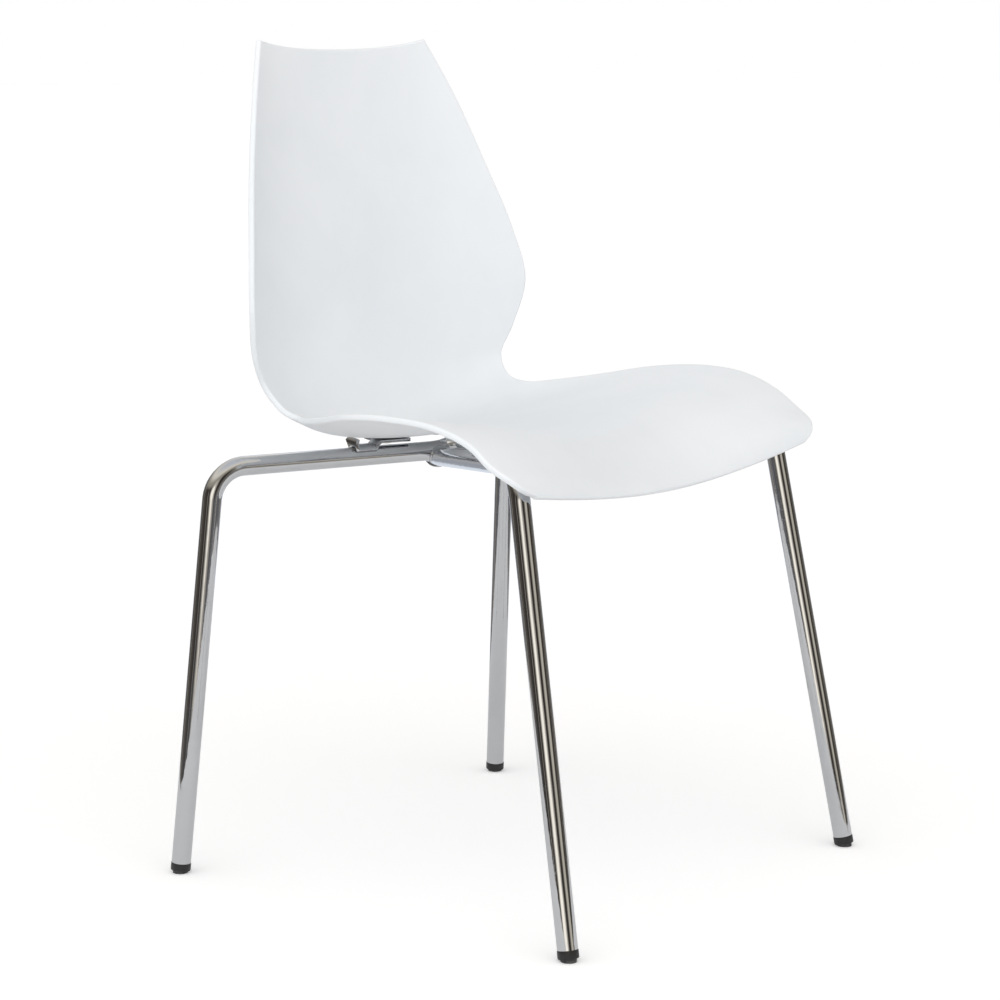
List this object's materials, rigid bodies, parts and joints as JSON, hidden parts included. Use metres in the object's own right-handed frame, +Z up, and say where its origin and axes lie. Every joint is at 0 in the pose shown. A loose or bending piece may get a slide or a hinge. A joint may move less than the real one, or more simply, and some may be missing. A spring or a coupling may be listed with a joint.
{
  "type": "stacking chair",
  "caption": "Stacking chair: one moulded shell for seat and back, screwed to a welded four-legged frame of chromed round tube with plastic glides.",
  "frame": {"origin": "middle of the chair's bounding box, at floor level", "axes": "+Z up, -Y towards the front of the chair, +X to the sitter's left"},
  "size_m": [0.515, 0.4801, 0.802],
  "materials": {
    "shell_plastic": "satin cool white, moulded",
    "chrome_tube": "polished chrome plate",
    "chrome_bracket": "chrome plate over pressed steel",
    "brass_insert": "turned",
    "zinc_fixing": "bright zinc plate",
    "glide_plastic": "black, moulded"
  },
  "bodies": {
    "root": {"seat_shell": "shell_plastic", "rear_leg_tube": "chrome_tube", "front_leg_tube_left": "chrome_tube", "front_leg_tube_right": "chrome_tube", "rear_bracket_left": "chrome_bracket", "rear_bracket_right": "chrome_bracket", "front_bracket_left": "chrome_bracket", "front_bracket_right": "chrome_bracket", "rear_insert_left": "brass_insert", "rear_insert_right": "brass_insert", "front_insert_left": "brass_insert", "front_insert_right": "brass_insert", "rear_washer_left": "zinc_fixing", "rear_washer_right": "zinc_fixing", "front_washer_left": "zinc_fixing", "front_washer_right": "zinc_fixing", "rear_screw_left": "zinc_fixing", "rear_screw_right": "zinc_fixing", "front_screw_left": "zinc_fixing", "front_screw_right": "zinc_fixing", "rear_glide_left": "glide_plastic", "rear_glide_right": "glide_plastic", "front_glide_left": "glide_plastic", "front_glide_right": "glide_plastic"}
  },
  "joints": []
}
